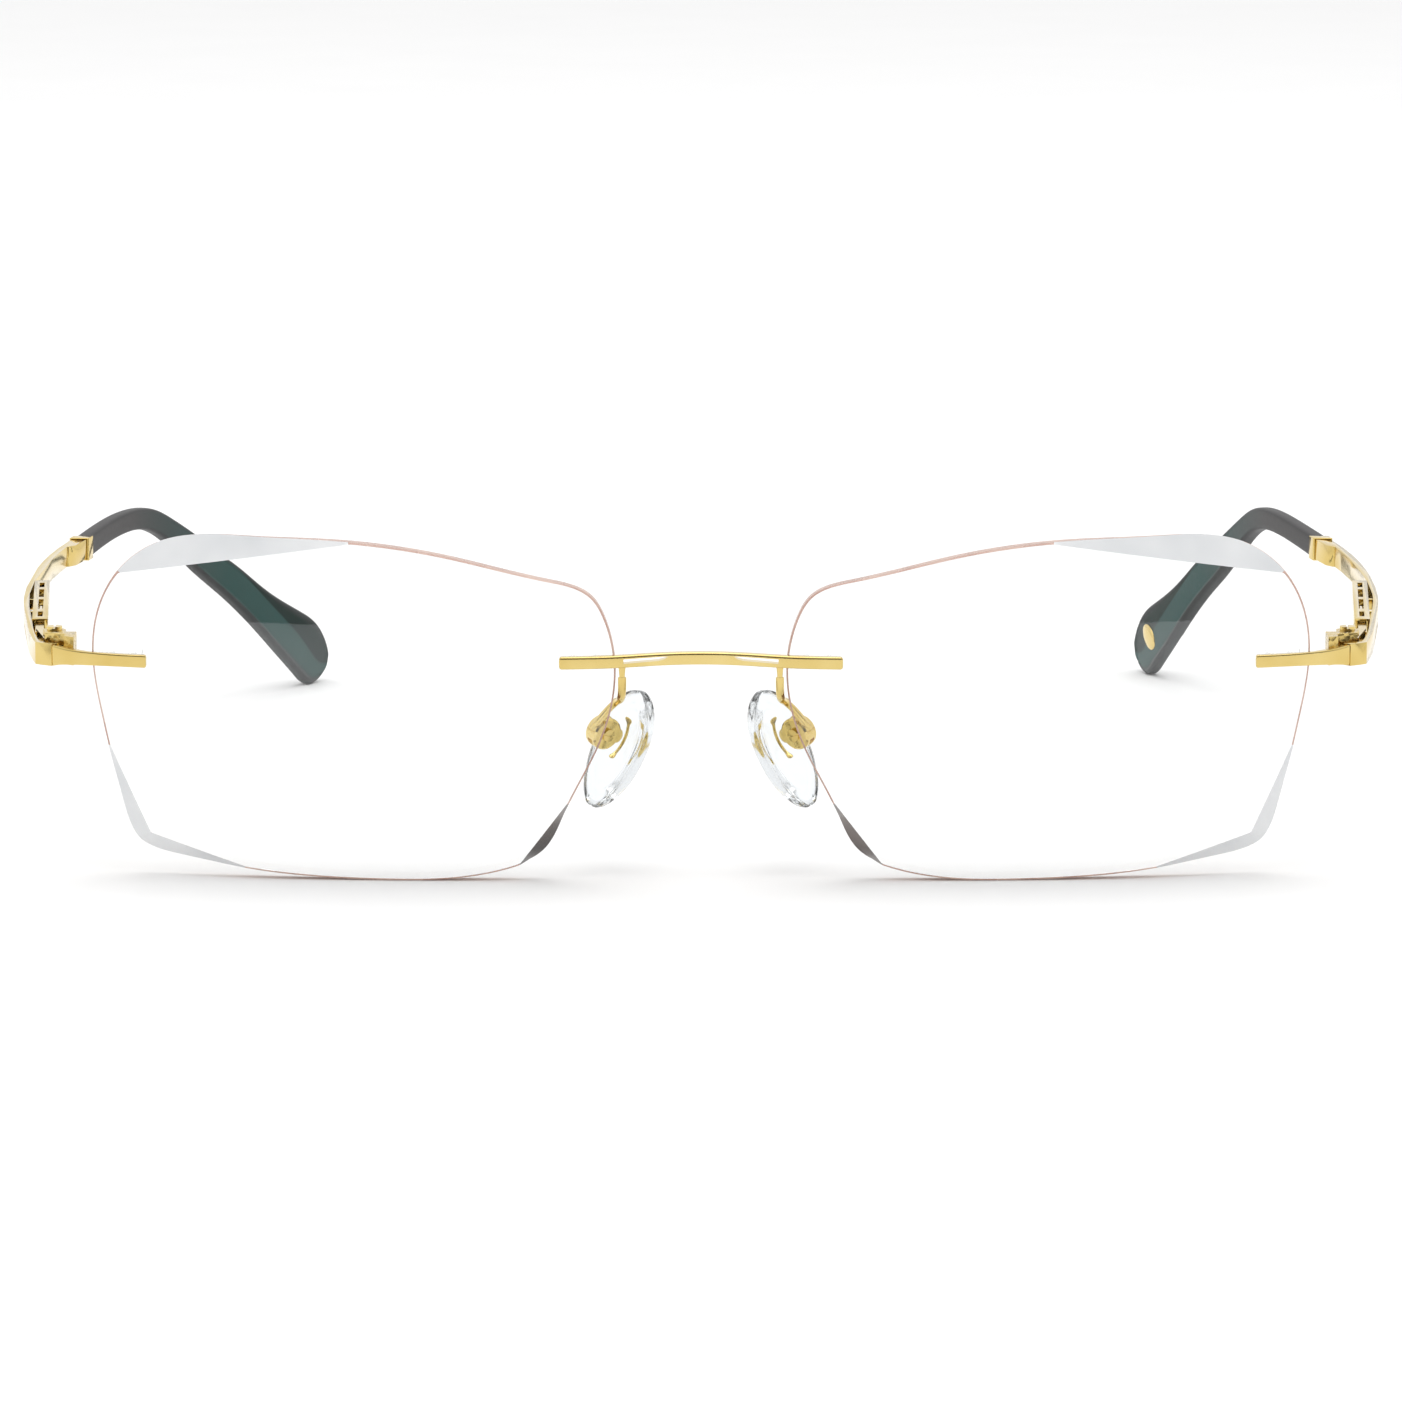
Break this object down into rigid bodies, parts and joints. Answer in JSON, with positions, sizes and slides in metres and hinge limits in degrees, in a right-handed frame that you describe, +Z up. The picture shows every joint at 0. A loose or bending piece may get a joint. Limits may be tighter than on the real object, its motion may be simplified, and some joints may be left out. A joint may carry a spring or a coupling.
{
  "type": "rimless eyeglasses",
  "caption": "Rimless eyeglasses with facet-cut lenses pinned to a slotted bridge, folding spring temples, rocking nose pads and drop-end tips.",
  "frame": {"origin": "on the surface the open glasses stand on, in the middle of their width and length", "axes": "+X to the right of someone facing the front, +Y back along the temples, +Z up; the front faces -Y"},
  "size_m": [0.1532, 0.1436, 0.037],
  "materials": {
    "gold": "polished pale yellow gold plating",
    "lens": "clear, anti-reflection coated, polished facets",
    "sleeve": "clear plastic, polished",
    "silicone": "clear soft silicone, satin",
    "tip": "acetate, grey-black turning dark teal, satin",
    "steel": "stainless spring steel",
    "washer": "nylon"
  },
  "bodies": {
    "front": {"bridge": "gold", "lens_left": "lens", "lens_right": "lens", "lens_bushings": "sleeve", "pad_arm_left": "gold", "pad_arm_right": "gold", "pad_screws": "gold", "end_piece_left": "gold", "end_piece_right": "gold", "hinge_leaf_left": "gold", "hinge_leaf_right": "gold", "hinge_screws": "gold", "hinge_washers_left": "washer", "hinge_washers_right": "washer"},
    "slider_body_left": {"slider_left": "gold", "slider_nut_left": "steel", "flex_spring_left": "steel"},
    "temple_body_left": {"temple_left": "gold", "spring_housing_left": "gold", "ferrule_left": "gold", "core_wire_left": "steel", "tip_left": "tip"},
    "pad_left": {"nose_pad_left": "silicone", "pad_core_left": "gold"},
    "slider_body_right": {"slider_right": "gold", "slider_nut_right": "steel", "flex_spring_right": "steel"},
    "temple_body_right": {"temple_right": "gold", "spring_housing_right": "gold", "ferrule_right": "gold", "core_wire_right": "steel", "tip_right": "tip", "tip_inlay": "gold"},
    "pad_right": {"nose_pad_right": "silicone", "pad_core_right": "gold"}
  },
  "joints": [
    {"name": "temple_fold_left", "type": "hinge", "parent": "front", "child": "slider_body_left", "pos_m": [-0.0702, -0.05793, 0.024], "axis": [0, 0, -1], "range_deg": [0, 77]},
    {"name": "housing_slide_left", "type": "slide", "parent": "slider_body_left", "child": "temple_body_left", "axis": [-0.077, 0.997, 0], "range_m": [0, 0.001], "stiffness_N_per_m": 200},
    {"name": "pad_rock_left", "type": "hinge", "parent": "front", "child": "pad_left", "pos_m": [-0.0106, -0.06393, 0.0154], "axis": [-0.5557, 0.7937, 0.2474], "range_deg": [-10, 10]},
    {"name": "temple_fold_right", "type": "hinge", "parent": "front", "child": "slider_body_right", "pos_m": [0.0702, -0.05793, 0.024], "axis": [0, 0, 1], "range_deg": [0, 83]},
    {"name": "housing_slide_right", "type": "slide", "parent": "slider_body_right", "child": "temple_body_right", "axis": [0.077, 0.997, 0], "range_m": [0, 0.001], "stiffness_N_per_m": 200},
    {"name": "pad_rock_right", "type": "hinge", "parent": "front", "child": "pad_right", "pos_m": [0.0106, -0.06393, 0.0154], "axis": [-0.5557, -0.7937, -0.2474], "range_deg": [-10, 10]}
  ]
}
